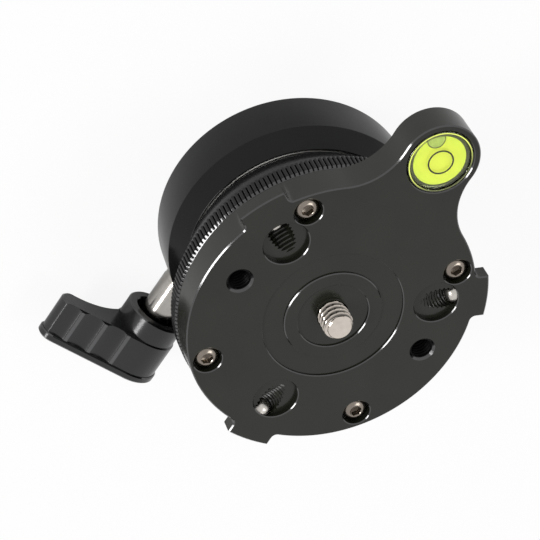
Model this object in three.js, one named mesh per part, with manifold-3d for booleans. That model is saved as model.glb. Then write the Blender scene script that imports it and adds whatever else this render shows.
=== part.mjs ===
// Leveling base for a tripod: a flat head plate on a half ball that tilts in a low round bowl,
// locked from the side by a lever. Millimetres, +Z up. The origin is the centre of the underside,
// and +X runs out along the clamp shaft, towards the lever.
import * as THREE from "three";
import { mergeVertices } from "three/addons/utils/BufferGeometryUtils.js";
import Module from "manifold-3d";

const wasm = await Module();
wasm.setup();

// Clearances
const slideGap = 0.3;
const fitGap = 0.1;
const overrun = 1;

// Facets
const wideSteps = 64;
const midSteps = 32;
const smallSteps = 16;
const knurlTeeth = 200;

// How the head stands in the bowl: it leans a little to one side, with the level's ear
// opposite the lever.
const leanAngle = 3.4;
const leanHeading = 107.9;
const earHeading = 180.8;

// Half ball. The head plate's underside lies plateDrop below its centre.
const plateDrop = 1.2;
const ballRadius = 29.2;
const ballWall = 4;
const ballEdgeAngle = 33;
const ballRimLip = 2.2;

// Bowl, by its cavity, whose angles are measured about the ball's centre from straight down. The
// floor's edge stands at bowlFloorHeight.
const bowlCavityGap = 0.5;
const bowlFloorHeight = 6.78;
const bowlFloorAngle = 28;
const bowlMouthAngle = 54.37;
const bowlLip = 0.26;
const bowlShoulderOut = 3;
const bowlShoulderDrop = 4.1;
const bowlFootChamfer = 0.25;

// Plastic liner let into the bowl under the ball, and the liner inside the ball
const seatLinerThickness = 1.2;
const seatLinerLowAngle = 46;
const seatLinerHighAngle = 52.5;
const innerLinerThickness = 1;
const innerLinerLowAngle = 34;
const innerLinerHighAngle = 62;

// Base plate that closes the bowl from below, and its three countersunk screws
const footWidth = 5.7;
const basePlateThickness = 2.8;
const baseScrewInset = 3.2;
const baseScrewCount = 3;
const baseScrewHeading = 90;
const baseScrewHeadRadius = 2.7;
const baseScrewHeadHeight = 1.5;
const baseScrewRadius = 1.45;
const baseScrewLength = 6.4;

// Centre post with the 3/8 inch tripod thread in its foot
const tripodThreadRadius = 3.97;
const tripodThreadDepth = 7.8;
const tripodThreadChamfer = 0.4;
const tripodDrillPoint = 1;
const postFlangeRadius = 9.3;
const postFlangeHeight = 1.8;
const postBarrelRadius = 6.6;
const postShoulderDrop = 1.2;
const postStemRadius = 3.9;
const postStemRise = 1.8;
const postStemChamfer = 0.5;

// Hold-down cap, its two disc springs and the nut on the post
const capLowAngle = 20;
const capHighAngle = 42;
const capRimHeight = 1.4;
const springDiscRadius = 8.6;
const springDiscThickness = 0.7;
const springDiscRise = 0.5;
const nutAcrossFlats = 13;
const nutHeight = 3.6;

// Clamp shaft. It runs level across the bowl, and its axis touches the cavity at shaftAngle from
// straight down.
const shaftAngle = 31.56;
const shaftRadius = 3.42;
const shaftTipRadius = 1.5;
const shaftTipLength = 1.2;
const shaftThreadRadius = 3.3;
const shaftThreadInset = 6.4;
const shaftSeatRadius = 3;

// Shoe that the shaft drives against the underside of the ball
const shoeRadius = 3.75;
const shoeBoreRadius = 3.9;
const shoeBoreStart = -8;
const shoeStart = -6;
const shoeEnd = 13.9;
const shoeChamfer = 0.5;

// Lever: a hub on the shaft and a scalloped arm with a thin flange on its outer side. The lengths
// along the shaft are counted from the hub's inner end.
const hubRadius = 7.3;
const hubNeckRadius = 6.65;
const hubGap = 2.2;
const hubLength = 14;
const armSetback = 4.4;
const armTipReach = 18.2;
const armTipRise = 1;
const armTipRadius = 2.9;
const armHubAngle = 32;
const armHollowReach = 13.5;
const armHollowDrop = 0.6;
const armShoulderReach = 9.3;
const armShoulderDrop = 1.7;
const armFlange = 1.6;
const armInset = 0.35;
const leverBevel = 0.35;
const scallopPitch = 5.35;
const scallopFirst = 8;
const scallopCount = 3;
const scallopRadius = 5.6;
const scallopDepth = 0.65;
const splineTeeth = 20;
const splineRadius = 4.4;
const splineDepth = 0.45;
const splineSetback = 2.2;
const splineLength = 4;
const splineGrip = 2.3;
const hubBoreRadius = 4.6;
const hubWebSetback = 6.6;
const hubWebThickness = 0.9;
const hubPocketRadius = 5.2;
const shaftEndGap = 0.2;

// Screw that holds the lever on the shaft, and the spring under its head
const leverScrewHeadRadius = 4.6;
const leverScrewHeadHeight = 2;
const leverScrewSunk = 0.4;
const leverScrewRadius = 2.4;
const leverScrewLength = 10.5;
const leverScrewSocket = 2;
const leverSpringRadius = 3.8;
const leverSpringWire = 0.5;
const leverSpringTurns = 2;

// Knurled ring, let into a rebate around the ball's rim and nearly flush with the plate above it
const knurlProud = 0.3;
const knurlDepth = 0.4;
const knurlHeight = 3.6;
const knurlRebate = 0.8;

// Head plate
const plateOverhang = 0.8;
const plateThickness = 7.2;
const plateBevel = 0.35;
const tabReach = 2.7;
const tabHeight = 3.6;
const tabHalfWidth = 4.83;
const tabFillet = 1.2;
const tabHeadings = [60, 180, 300];
const earOffset = 8.4;
const earWall = 1.45;
const earFillet = 12.5;
const dishRadius = 14.6;
const dishDepth = 0.45;
const bossRadius = 10.2;
const bossBore = 7.35;
const bossDrop = 0.1;
const tappedHoleInset = 7.2;
const tappedHoleRadius = 2.35;
const tappedHoleHeadings = [90, 270];

// Button-head screws that fasten the plate to the ball
const plateScrewInset = 2.9;
const plateScrewCount = 4;
const plateScrewHeading = 45;
const plateScrewPocketRadius = 2.9;
const plateScrewPocketDepth = 2.3;
const plateScrewHeadRadius = 2.6;
const plateScrewHeadHeight = 1.7;
const plateScrewRadius = 1.45;
const plateScrewLength = 8.5;
const plateScrewSocket = 1.15;
const plateScrewSocketDepth = 1;

// Slanted set screws, in holes that come in under the tabs and open in the spot faces. The lengths
// along a hole are counted from below the tab's outer wall, setScrewDrop below the face.
const spotFaceInset = 11.1;
const spotFaceRadius = 4.65;
const spotFaceDepth = 1.25;
const setScrewSlope = 29;
const setScrewDrop = 6.3;
const setScrewRadius = 2.3;
const setScrewStart = 3.1;
const setScrewLength = 6;
const setScrewPoint = 1.1;
const setScrewSocket = 1.4;
const setScrewSocketDepth = 2;
const setHoleEnd = 16;

// Camera stud, 1/4 inch, with its head let into the underside of the plate
const studRadius = 3.175;
const studReach = 4.3;
const studChamfer = 0.6;
const studHeadRadius = 7;
const studHeadHeight = 2.2;

// Round bubble level in the ear
const vialRadius = 6.75;
const vialFloor = 1.2;
const vialWall = 1.3;
const vialBase = 1.2;
const vialLensRadius = 6.1;
const vialLensThickness = 0.9;
const vialLensRise = 0.25;
const vialSunk = 0.1;
const bubbleRadius = 1.8;
const bubbleDepth = 0.6;
const bubbleOffset = 4.2;
const bubbleHeading = 43;

const radians = THREE.MathUtils.degToRad;
const zAxis = new THREE.Vector3(0, 0, 1);

// Material for each kind of piece
function finish(color, roughness, metalness) {
  return new THREE.MeshStandardMaterial({ color, roughness, metalness });
}
const blackAnodised = finish(0x1d1e1c, 0.42, 0.85);
const blackCast = finish(0x26272a, 0.5, 0.75);
const brightSteel = finish(0xc9c4bd, 0.25, 1);
const darkSteel = finish(0x55575a, 0.4, 0.95);
const brass = finish(0xb08d4c, 0.35, 0.95);
const whitePlastic = finish(0xe4e2da, 0.55, 0);
const clearPlastic = finish(0xe8f0e0, 0.1, 0);
const greenFluid = finish(0xd6ee4a, 0.15, 0);

// A closed solid for cutting and joining, from any closed geometry
function solid(geometry) {
  const bare = new THREE.BufferGeometry();
  bare.setAttribute("position", geometry.getAttribute("position").clone());
  if (geometry.index) bare.setIndex(geometry.index.clone());
  const merged = mergeVertices(bare, fitGap / wideSteps / wideSteps);
  const corners = Array.from(merged.index.array);
  const kept = [];
  for (let i = 0; i < corners.length; i += 3) {
    const [a, b, c] = corners.slice(i, i + 3);
    if (a !== b && b !== c && c !== a) kept.push(a, b, c);
  }
  const places = new Float32Array(merged.getAttribute("position").array);
  const made = solidFrom(places, kept);
  return made.volume() > 0 ? made : solidFrom(places, kept.reverse());
}

function solidFrom(vertProperties, corners) {
  const triVerts = new Uint32Array(corners);
  return new wasm.Manifold(new wasm.Mesh({ numProp: 3, vertProperties, triVerts }));
}

function geometryOf(body) {
  const { vertProperties, triVerts } = body.getMesh();
  const geometry = new THREE.BufferGeometry();
  geometry.setAttribute("position", new THREE.BufferAttribute(new Float32Array(vertProperties), 3));
  geometry.setIndex(new THREE.BufferAttribute(new Uint32Array(triVerts), 1));
  geometry.computeVertexNormals();
  return geometry;
}

function piece(name, body, material) {
  const mesh = new THREE.Mesh(geometryOf(body), material);
  mesh.name = name;
  return mesh;
}

// A turned solid about Z, from [radius, height] points that close on themselves or on the axis
function turned(profile, steps) {
  const points = profile.map(([radius, height]) => new THREE.Vector2(radius, height));
  const open = points.at(0).x > 0 || points.at(-1).x > 0;
  if (open) points.push(points[0].clone());
  return solid(new THREE.LatheGeometry(points, steps).rotateX(Math.PI / 2));
}

// Points of an arc about the ball's centre; the angle is measured from straight down
function ballArc(radius, fromAngle, toAngle, steps, centreHeight) {
  const points = [];
  for (let i = 0; i <= steps; i += 1) {
    const angle = radians(fromAngle + ((toAngle - fromAngle) * i) / steps);
    points.push([radius * Math.sin(angle), centreHeight - radius * Math.cos(angle)]);
  }
  return points;
}

function cylinder(radius, bottom, top, steps = smallSteps) {
  const rod = new THREE.CylinderGeometry(radius, radius, top - bottom, steps);
  return solid(rod.rotateX(Math.PI / 2).translate(0, 0, (top + bottom) / 2));
}

function hexagon(acrossCorners, bottom, top) {
  return cylinder(acrossCorners, bottom, top, 6);
}

function ball(radius) {
  return solid(new THREE.SphereGeometry(radius, wideSteps, wideSteps / 2));
}

// Adds an arc to an outline, in chords of a circle with so many facets
function addArc(shape, x, y, radius, from, to, facets) {
  const steps = Math.ceil((Math.abs(to - from) / (2 * Math.PI)) * facets);
  for (let i = 0; i <= steps; i += 1) {
    const angle = from + ((to - from) * i) / steps;
    shape.lineTo(x + radius * Math.cos(angle), y + radius * Math.sin(angle));
  }
}

// A shape's outline as a closed ring of points, none of them doubled where two arcs meet
function ringOf(shape) {
  const points = shape.getPoints(smallSteps / 2);
  return points.filter((point, i) => point.distanceTo(points.at(i - 1)) > fitGap / 2);
}

function extruded(shape, bottom, top, bevel = 0) {
  const settings = {
    depth: top - bottom - 2 * bevel,
    bevelEnabled: bevel > 0,
    bevelSize: bevel,
    bevelThickness: bevel,
    bevelOffset: -bevel,
    bevelSegments: 1,
  };
  const outline = new THREE.Shape(ringOf(shape));
  return solid(new THREE.ExtrudeGeometry(outline, settings).translate(0, 0, bottom + bevel));
}

function movedBy(body, x, y, z) {
  return body.translate([x, y, z]);
}

function onCircle(body, circle, heading, height = 0) {
  const angle = radians(heading);
  return body.translate([circle * Math.cos(angle), circle * Math.sin(angle), height]);
}

function headings(count, first) {
  return Array.from({ length: count }, (_, i) => first + (i * 360) / count);
}

// A coil spring about Z between two heights, one unbroken wire
function coil(radius, wire, bottom, top, turns) {
  const stepsPerTurn = 16;
  const steps = turns * stepsPerTurn;
  const points = [];
  for (let i = 0; i <= steps; i += 1) {
    const angle = (i / stepsPerTurn) * 2 * Math.PI;
    const height = bottom + wire / 2 + ((top - bottom - wire) * i) / steps;
    points.push(new THREE.Vector3(radius * Math.cos(angle), radius * Math.sin(angle), height));
  }
  const section = new THREE.Shape().absarc(0, 0, wire / 2, 0, 2 * Math.PI);
  const extrudePath = new THREE.CatmullRomCurve3(points);
  const settings = { steps, extrudePath, curveSegments: midSteps / 8 };
  return solid(new THREE.ExtrudeGeometry(section, settings));
}

// A frame whose own Z runs along the clamp shaft and whose own Y points up
function alongShaft(body) {
  const turn = new THREE.Matrix4().makeBasis(
    new THREE.Vector3(0, 1, 0),
    new THREE.Vector3(0, 0, 1),
    new THREE.Vector3(1, 0, 0),
  );
  return body.transform(turn.toArray()).translate([0, shaftSide, shaftHeight]);
}

// Sizes that follow from the ball and the bowl
const cavityRadius = ballRadius + bowlCavityGap;
const pivotHeight = bowlFloorHeight + cavityRadius * Math.cos(radians(bowlFloorAngle));
const bowlMouthHeight = pivotHeight - cavityRadius * Math.cos(radians(bowlMouthAngle));
const bowlMouthBore = cavityRadius * Math.sin(radians(bowlMouthAngle));
const bowlMouthRadius = bowlMouthBore + bowlLip;
const bowlRadius = bowlMouthRadius + bowlShoulderOut;
const linerInner = ballRadius + slideGap;
const linerOuter = linerInner + seatLinerThickness;
const linerGroove = linerOuter + slideGap;
const ballInner = ballRadius - ballWall;
const ballRimBore = ballInner - ballRimLip;
const innerLinerOuter = ballInner - slideGap;
const innerLinerInner = innerLinerOuter - innerLinerThickness;
const capRadius = innerLinerInner - slideGap;
const basePlateRadius = bowlRadius - footWidth;
const basePocketTop = basePlateThickness + fitGap;
const baseScrewCircle = basePlateRadius - baseScrewInset;

// Heights of the pieces stacked on the post
const capFootHeight = pivotHeight - capRadius * Math.cos(radians(capLowAngle));
const capTopHeight = pivotHeight - capRadius * Math.cos(radians(capHighAngle)) + capRimHeight;
const discPitch = springDiscRise + springDiscThickness + fitGap;
const nutFootHeight = capTopHeight + 2 * discPitch + fitGap;
const postBarrelTop = capFootHeight - postShoulderDrop;
const postStemTop = nutFootHeight + nutHeight + postStemRise;

// Places along and across the clamp shaft
const shaftSide = -(cavityRadius + fitGap) * Math.sin(radians(shaftAngle));
const shaftHeight = pivotHeight - (cavityRadius + fitGap) * Math.cos(radians(shaftAngle));
const shaftTipStart = shoeEnd + slideGap;
const shaftThreadEnd = bowlRadius - shaftThreadInset;
const hubStart = bowlRadius + hubGap;
const leverEnd = hubStart + hubLength;
const armStart = hubStart + armSetback;
const flangeStart = leverEnd - armFlange;
const splineStart = hubStart + splineSetback;
const splineEnd = splineStart + splineLength;
const hubWebStart = hubStart + hubWebSetback;
const hubWebEnd = hubWebStart + hubWebThickness;
const shaftEnd = hubWebStart - shaftEndGap;
const leverScrewHeadEnd = leverEnd - leverScrewSunk;
const leverScrewHeadStart = leverScrewHeadEnd - leverScrewHeadHeight;
const leverScrewTip = leverScrewHeadStart - leverScrewLength;

// Heights in the head's own frame, whose origin is the centre of the ball
const plateFloor = -plateDrop;
const plateTop = plateFloor + plateThickness;
const ballTop = plateFloor - fitGap;
const tabFloor = plateTop - tabHeight;
const knurlFloor = ballTop - knurlHeight;
const knurlSeat = knurlFloor - fitGap;
const plateScrewSeat = plateTop - plateScrewPocketDepth;
const plateScrewTip = plateScrewSeat + fitGap - plateScrewLength;
const setScrewEnd = setScrewStart + setScrewLength;

// Sizes of the head that follow from the ball
const plateRadius = ballRadius + plateOverhang;
const knurlRadius = plateRadius + knurlProud;
const knurlSeatRadius = ballRadius - knurlRebate;
const plateScrewCircle = ballRadius - plateScrewInset;
const tabRadius = plateRadius + tabReach;
const spotFaceCircle = tabRadius - spotFaceInset;
const tappedHoleCircle = plateRadius - tappedHoleInset;
const earReach = plateRadius + earOffset;
const earRadius = vialRadius + earWall;

// Bowl, turned with its ball cavity and liner groove, then bored for the shaft and the shoe
function bowlBody() {
  const grooveEase = THREE.MathUtils.radToDeg(slideGap / linerOuter);
  const grooveLow = seatLinerLowAngle - grooveEase;
  const grooveHigh = seatLinerHighAngle + grooveEase;
  const floor = ballArc(cavityRadius, grooveLow, bowlFloorAngle, 3, pivotHeight);
  const pocketRadius = basePlateRadius + fitGap;
  const profile = [
    [bowlRadius - bowlFootChamfer, 0],
    [bowlRadius, bowlFootChamfer],
    [bowlRadius, bowlMouthHeight - bowlShoulderDrop],
    [bowlMouthRadius, bowlMouthHeight],
    ...ballArc(cavityRadius, bowlMouthAngle, grooveHigh, 1, pivotHeight),
    ...ballArc(linerGroove, grooveHigh, grooveLow, 2, pivotHeight),
    ...floor,
    [floor.at(-1)[0], basePocketTop],
    [pocketRadius, basePocketTop],
    [pocketRadius, 0],
  ];
  const threadBore = cylinder(shaftRadius + fitGap, shoeEnd, bowlRadius + overrun);
  const shoeBore = cylinder(shoeBoreRadius, shoeBoreStart, shaftTipStart + shaftTipLength);
  let body = turned(profile, wideSteps);
  body = body.subtract(alongShaft(threadBore)).subtract(alongShaft(shoeBore));
  for (const heading of headings(baseScrewCount, baseScrewHeading)) {
    const hole = cylinder(baseScrewRadius + fitGap, 0, baseScrewLength + fitGap);
    body = body.subtract(onCircle(hole, baseScrewCircle, heading));
  }
  return piece("bowl_body", body, blackAnodised);
}

function basePlate() {
  const flangePocket = postFlangeHeight + fitGap;
  const profile = [
    [postFlangeRadius + fitGap, 0],
    [basePlateRadius, 0],
    [basePlateRadius, basePlateThickness],
    [postBarrelRadius + fitGap, basePlateThickness],
    [postBarrelRadius + fitGap, flangePocket],
    [postFlangeRadius + fitGap, flangePocket],
  ];
  let body = turned(profile, wideSteps);
  for (const heading of headings(baseScrewCount, baseScrewHeading)) {
    const head = turned(countersunk(fitGap, overrun), smallSteps);
    body = body.subtract(onCircle(head, baseScrewCircle, heading));
  }
  return piece("base_plate", body, blackAnodised);
}

// Outline of a countersunk screw, grown all round by a gap and run out below the face
function countersunk(gap, below) {
  const head = baseScrewHeadRadius + gap;
  const shank = baseScrewRadius + gap;
  return [
    [0, -below],
    [head, -below],
    [head, 0],
    [shank, baseScrewHeadHeight],
    [shank, baseScrewLength],
    [0, baseScrewLength],
  ];
}

function baseScrews() {
  return headings(baseScrewCount, baseScrewHeading).map((heading, i) => {
    const shape = countersunk(0, 0).slice(1);
    const screw = turned([[0, 0], ...shape.slice(1)], smallSteps);
    const socket = hexagon(baseScrewRadius, -overrun, baseScrewHeadHeight);
    const body = onCircle(screw.subtract(socket), baseScrewCircle, heading);
    return piece(`base_screw_${i + 1}`, body, darkSteel);
  });
}

function centrePost() {
  const profile = [
    [0, tripodThreadDepth + tripodDrillPoint],
    [tripodThreadRadius, tripodThreadDepth],
    [tripodThreadRadius, tripodThreadChamfer],
    [tripodThreadRadius + tripodThreadChamfer, 0],
    [postFlangeRadius, 0],
    [postFlangeRadius, postFlangeHeight],
    [postBarrelRadius, postFlangeHeight],
    [postBarrelRadius, postBarrelTop],
    [postStemRadius, postBarrelTop],
    [postStemRadius, postStemTop - postStemChamfer],
    [postStemRadius - postStemChamfer, postStemTop],
    [0, postStemTop],
  ];
  return piece("centre_post", turned(profile, midSteps), brightSteel);
}

function holdDownCap() {
  const skirt = ballArc(capRadius, capLowAngle, capHighAngle, 4, pivotHeight);
  const bore = postStemRadius + fitGap;
  const profile = [[bore, capFootHeight], ...skirt, [skirt.at(-1)[0], capTopHeight], [bore, capTopHeight]];
  return piece("hold_down_cap", turned(profile, midSteps), brass);
}

function discSpring(index) {
  const bore = postStemRadius + fitGap;
  const low = capTopHeight + fitGap + index * discPitch;
  const flip = index % 2;
  const inner = low + springDiscRise * (1 - flip);
  const outer = low + springDiscRise * flip;
  const profile = [
    [bore, inner],
    [springDiscRadius, outer],
    [springDiscRadius, outer + springDiscThickness],
    [bore, inner + springDiscThickness],
  ];
  return piece(`disc_spring_${index + 1}`, turned(profile, midSteps), darkSteel);
}

function holdDownNut() {
  const top = nutFootHeight + nutHeight;
  const body = hexagon(nutAcrossFlats / Math.sqrt(3), nutFootHeight, top);
  const bore = cylinder(postStemRadius + fitGap, nutFootHeight - overrun, top + overrun);
  return piece("hold_down_nut", body.subtract(bore), darkSteel);
}

function seatLiner() {
  const inner = ballArc(linerInner, seatLinerHighAngle, seatLinerLowAngle, 2, pivotHeight);
  const outer = ballArc(linerOuter, seatLinerLowAngle, seatLinerHighAngle, 2, pivotHeight);
  return piece("seat_liner", turned([...inner, ...outer], wideSteps), whitePlastic);
}

// Shoe: a round bar hollowed to the ball, which wedges under it as the shaft drives it in
function clampShoe() {
  const bar = turned(
    [
      [0, shoeStart],
      [shoeRadius - shoeChamfer, shoeStart],
      [shoeRadius, shoeStart + shoeChamfer],
      [shoeRadius, shoeEnd - shoeChamfer],
      [shoeRadius - shoeChamfer, shoeEnd],
      [0, shoeEnd],
    ],
    smallSteps,
  );
  const hollow = movedBy(ball(ballRadius + slideGap), 0, 0, pivotHeight);
  return piece("clamp_shoe", alongShaft(bar).subtract(hollow), brass);
}

function clampShaft() {
  const profile = [
    [0, shaftTipStart],
    [shaftTipRadius, shaftTipStart],
    [shaftThreadRadius, shaftTipStart + shaftTipLength],
    [shaftThreadRadius, shaftThreadEnd],
    [shaftRadius, shaftThreadEnd],
    [shaftRadius, splineStart - fitGap],
    [shaftSeatRadius, splineStart - fitGap],
    [shaftSeatRadius, shaftEnd],
    [0, shaftEnd],
  ];
  const tapped = cylinder(leverScrewRadius + fitGap, leverScrewTip - fitGap, shaftEnd + overrun);
  return piece("clamp_shaft", alongShaft(turned(profile, midSteps).subtract(tapped)), brightSteel);
}

// Round outline with straight-sided teeth, used for the spline and for its bore
function toothedOutline(radius, depth, teeth) {
  const shape = new THREE.Shape();
  for (let i = 0; i < 2 * teeth; i += 1) {
    const angle = (i * Math.PI) / teeth;
    const reach = i % 2 ? radius - depth : radius;
    const place = [reach * Math.cos(angle), reach * Math.sin(angle)];
    if (i === 0) shape.moveTo(...place);
    else shape.lineTo(...place);
  }
  shape.closePath();
  return shape;
}

function shaftSpline() {
  const outline = toothedOutline(splineRadius - fitGap, splineDepth, splineTeeth);
  const bore = cylinder(shaftSeatRadius + fitGap, splineStart - overrun, shaftEnd + overrun, midSteps);
  const sleeve = extruded(outline, splineStart, splineEnd).subtract(bore);
  return piece("shaft_spline", alongShaft(sleeve), darkSteel);
}

// Slope of the straight line that touches both the hub and the tip from above
function armSlope(hub, tip) {
  const rise = Math.atan2(armTipRise, armTipReach);
  return Math.asin((hub - tip) / Math.hypot(armTipReach, armTipRise)) - rise;
}

// Outline of the lever seen along the shaft: a round hub, a straight upper edge, a round tip
// and a lower edge hollowed for a finger. The arm runs towards minus X.
function leverOutline(inset) {
  const hub = hubRadius - inset;
  const tip = armTipRadius - inset;
  const leave = Math.PI / 2 + armSlope(hub, tip);
  const root = Math.PI + radians(armHubAngle);
  const shape = new THREE.Shape();
  shape.absarc(0, 0, hub, root - 2 * Math.PI, leave, false);
  shape.absarc(-armTipReach, armTipRise, tip, leave, 1.5 * Math.PI, false);
  shape.bezierCurveTo(
    -armHollowReach,
    inset - armHollowDrop,
    -armShoulderReach,
    inset - armShoulderDrop,
    hub * Math.cos(root),
    hub * Math.sin(root),
  );
  return shape;
}

function clampLever() {
  const neckEnd = armStart + leverBevel;
  const gripStart = splineEnd - splineGrip;
  const arm = extruded(leverOutline(armInset), armStart, flangeStart + leverBevel, leverBevel);
  const flange = extruded(leverOutline(0), flangeStart, leverEnd, leverBevel);
  const neck = turned(
    [
      [0, hubStart],
      [hubNeckRadius - leverBevel, hubStart],
      [hubNeckRadius, hubStart + leverBevel],
      [hubNeckRadius, neckEnd],
      [0, neckEnd],
    ],
    midSteps,
  );
  let body = arm;
  for (let i = 0; i < scallopCount; i += 1) {
    body = body.subtract(scallop(scallopFirst + i * scallopPitch, armStart - overrun, flangeStart));
  }
  body = body.add(flange).add(neck);
  const spline = toothedOutline(splineRadius + fitGap, splineDepth, splineTeeth);
  const cuts = [
    cylinder(hubPocketRadius, hubWebEnd, leverEnd + overrun, midSteps),
    cylinder(leverScrewRadius + slideGap, hubStart, leverEnd),
    cylinder(hubBoreRadius, hubStart - overrun, gripStart, midSteps),
    extruded(spline, gripStart - fitGap, hubWebStart),
  ];
  for (const cut of cuts) body = body.subtract(cut);
  return piece("clamp_lever", alongShaft(body), blackCast);
}

// One finger scallop, cut square to the sloping upper edge of the arm
function scallop(reach, from, to) {
  const hub = hubRadius - armInset;
  const slope = armSlope(hub, armTipRadius - armInset);
  const edge = (hub - reach * Math.sin(slope)) / Math.cos(slope);
  const lift = scallopRadius - scallopDepth;
  const cutter = cylinder(scallopRadius, from, to, midSteps);
  return movedBy(cutter, -reach - lift * Math.sin(slope), edge + lift * Math.cos(slope), 0);
}

function leverScrew() {
  const profile = [
    [0, leverScrewTip],
    [leverScrewRadius, leverScrewTip],
    [leverScrewRadius, leverScrewHeadStart],
    [leverScrewHeadRadius, leverScrewHeadStart],
    [leverScrewHeadRadius, leverScrewHeadEnd],
    [0, leverScrewHeadEnd],
  ];
  const socket = hexagon(leverScrewSocket, leverScrewHeadStart + slideGap, leverEnd);
  return piece("lever_screw", alongShaft(turned(profile, smallSteps).subtract(socket)), brightSteel);
}

function leverSpring() {
  const bottom = hubWebEnd + fitGap;
  const top = leverScrewHeadStart - fitGap;
  const wound = coil(leverSpringRadius, leverSpringWire, bottom, top, leverSpringTurns);
  return piece("lever_spring", alongShaft(wound), brightSteel);
}

// Half ball, in the head's own frame: the centre of the ball is the origin and the plate lies above
function halfBall() {
  const rimAngle = THREE.MathUtils.radToDeg(Math.asin(ballRimBore / ballInner));
  const seatAngle = THREE.MathUtils.radToDeg(Math.acos(-knurlSeat / ballRadius));
  const profile = [
    ...ballArc(ballRadius, ballEdgeAngle, seatAngle, 5, 0),
    [knurlSeatRadius, knurlSeat],
    [knurlSeatRadius, ballTop],
    [ballRimBore, ballTop],
    ...ballArc(ballInner, rimAngle, ballEdgeAngle, 3, 0),
  ];
  let body = turned(profile, wideSteps);
  for (const heading of headings(plateScrewCount, plateScrewHeading)) {
    const hole = cylinder(plateScrewRadius + fitGap, plateScrewTip - slideGap, ballTop + overrun);
    body = body.subtract(onCircle(hole, plateScrewCircle, heading));
  }
  return piece("half_ball", body, blackAnodised);
}

function ballLiner() {
  const outer = ballArc(innerLinerOuter, innerLinerLowAngle, innerLinerHighAngle, 2, 0);
  const inner = ballArc(innerLinerInner, innerLinerHighAngle, innerLinerLowAngle, 2, 0);
  return piece("ball_liner", turned([...outer, ...inner], midSteps), whitePlastic);
}

function knurledRing() {
  const outline = toothedOutline(knurlRadius, knurlDepth, knurlTeeth);
  const bore = cylinder(knurlSeatRadius + fitGap, knurlFloor - overrun, ballTop + overrun, wideSteps);
  return piece("knurled_ring", extruded(outline, knurlFloor, ballTop).subtract(bore), blackAnodised);
}

// Outline of the head plate: a disc with tabs of the given reach and an ear that carries the level
function plateOutline(reach) {
  const shape = new THREE.Shape();
  const filletReach = plateRadius + earFillet;
  const earSpan = earRadius + earFillet;
  const leave = Math.acos((filletReach ** 2 + earReach ** 2 - earSpan ** 2) / (2 * filletReach * earReach));
  const filletX = filletReach * Math.cos(leave);
  const filletY = filletReach * Math.sin(leave);
  const swing = Math.atan2(filletY, filletX - earReach);
  shape.moveTo(earReach + earRadius * Math.cos(swing), -earRadius * Math.sin(swing));
  addArc(shape, earReach, 0, earRadius, -swing, swing, midSteps);
  addArc(shape, filletX, filletY, earFillet, swing - Math.PI, leave - Math.PI, midSteps);
  let from = leave;
  for (const heading of tabHeadings) from = addTab(shape, from, radians(heading), reach);
  addArc(shape, 0, 0, plateRadius, from, 2 * Math.PI - leave, wideSteps);
  addArc(shape, filletX, -filletY, earFillet, Math.PI - leave, Math.PI - swing, midSteps);
  return shape;
}

// Adds the rim up to a tab and the tab itself, or the bare rim where its reach is zero, and gives
// back the angle where the rim goes on
function addTab(shape, from, heading, reach) {
  const filletCircle = plateRadius + tabFillet;
  const root = Math.asin((tabHalfWidth + tabFillet) / filletCircle);
  const side = (sign) => [
    filletCircle * Math.cos(heading + sign * root),
    filletCircle * Math.sin(heading + sign * root),
  ];
  addArc(shape, 0, 0, plateRadius, from, heading - root, wideSteps);
  if (reach === 0) {
    addArc(shape, 0, 0, plateRadius, heading - root, heading + root, wideSteps);
    return heading + root;
  }
  const tip = plateRadius + reach;
  const corner = Math.asin(tabHalfWidth / tip);
  addArc(shape, ...side(-1), tabFillet, heading - root + Math.PI, heading + Math.PI / 2, smallSteps);
  addArc(shape, 0, 0, tip, heading - corner, heading + corner, wideSteps);
  addArc(shape, ...side(1), tabFillet, heading - Math.PI / 2, heading + root - Math.PI, smallSteps);
  return heading + root;
}

// Frame of one slanted hole: its own Z runs inwards and upwards from the tab's outer wall
function alongSetScrew(body, heading) {
  const slope = radians(setScrewSlope);
  const inwards = new THREE.Vector3(-Math.cos(slope), 0, Math.sin(slope));
  const across = new THREE.Vector3(0, 1, 0);
  const turn = new THREE.Matrix4().makeBasis(across.clone().cross(inwards), across, inwards);
  const placed = body.transform(turn.toArray()).translate([tabRadius, 0, plateTop - setScrewDrop]);
  return placed.rotate([0, 0, heading]);
}

// The plate's bare form: the disc and the ear at full height, and the tabs above tabFloor
function plateBlank() {
  const disc = extruded(plateOutline(0), plateFloor, plateTop, plateBevel);
  const tabbed = extruded(plateOutline(tabReach), plateFloor, plateTop, plateBevel);
  return disc.add(tabbed.trimByPlane([0, 0, 1], tabFloor));
}

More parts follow.
